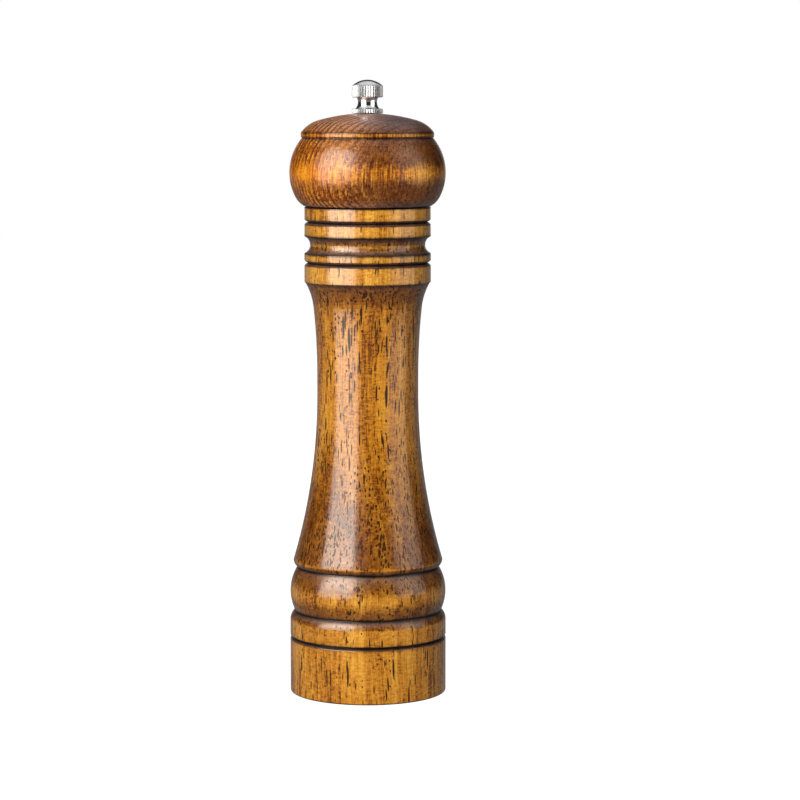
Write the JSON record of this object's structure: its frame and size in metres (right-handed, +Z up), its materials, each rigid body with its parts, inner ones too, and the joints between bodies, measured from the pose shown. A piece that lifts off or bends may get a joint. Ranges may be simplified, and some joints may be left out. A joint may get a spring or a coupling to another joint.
{
  "type": "pepper mill",
  "caption": "Turned wooden pepper mill: waisted lacquered body, rounded head that turns a ceramic burr on a square rod, and a knurled chrome finial nut that sets the grind.",
  "frame": {"origin": "centre of the foot ring, on the surface that the mill stands on", "axes": "+Z up along the turning axis to the finial; -Y is the side that the picture shows"},
  "size_m": [0.053, 0.053, 0.2076],
  "materials": {
    "body_wood": "amber-brown stain under gloss lacquer",
    "head_wood": "redder amber-brown stain under gloss lacquer",
    "chrome": "polished, knurled rims",
    "rod_aluminium": "drawn square bar",
    "plate_steel": "stamped",
    "screw_steel": "zinc plated",
    "housing_plastic": "moulded, off-white",
    "bush_nylon": "turned nylon",
    "burr_ceramic": "fired white ceramic",
    "sleeve_plastic": "moulded, black",
    "spring_steel": "drawn wire"
  },
  "bodies": {
    "body_assembly": {"mill_body": "body_wood", "grinder_housing": "housing_plastic", "housing_screws": "screw_steel", "shaft_bush": "bush_nylon", "grinder_stator": "burr_ceramic"},
    "spring_stack": {"spring_washer": "plate_steel", "rotor_spring": "spring_steel"},
    "drive_line": {"drive_shaft": "rod_aluminium", "grinder_rotor": "burr_ceramic", "rotor_sleeve": "sleeve_plastic", "rotor_washer": "plate_steel", "rotor_lock_washer": "spring_steel", "rotor_screw": "screw_steel"},
    "head_assembly": {"mill_head": "head_wood", "head_drive_plate": "plate_steel", "head_plate_screws": "screw_steel"},
    "finial": {"finial_nut": "chrome"}
  },
  "joints": [
    {"name": "head_turn", "type": "hinge", "parent": "body_assembly", "child": "spring_stack", "pos_m": [0, 0, 0.165], "axis": [0, 0, 1], "continuous": true},
    {"name": "grind_adjust", "type": "slide", "parent": "spring_stack", "child": "drive_line", "axis": [0, 0, 1], "range_m": [-0.0014, 0.00035], "deforming": ["rotor_spring"]},
    {"name": "head_lift", "type": "slide", "parent": "spring_stack", "child": "head_assembly", "axis": [0, 0, 1], "range_m": [0, 0.055]},
    {"name": "finial_turn", "type": "hinge", "parent": "head_assembly", "child": "finial", "pos_m": [0, 0, 0.2], "axis": [0, 0, 1], "range_deg": [-180, 720]}
  ],
  "couplings": [
    {"joint": "finial_turn", "follows": "grind_adjust", "rad_per_m": -8976}
  ]
}
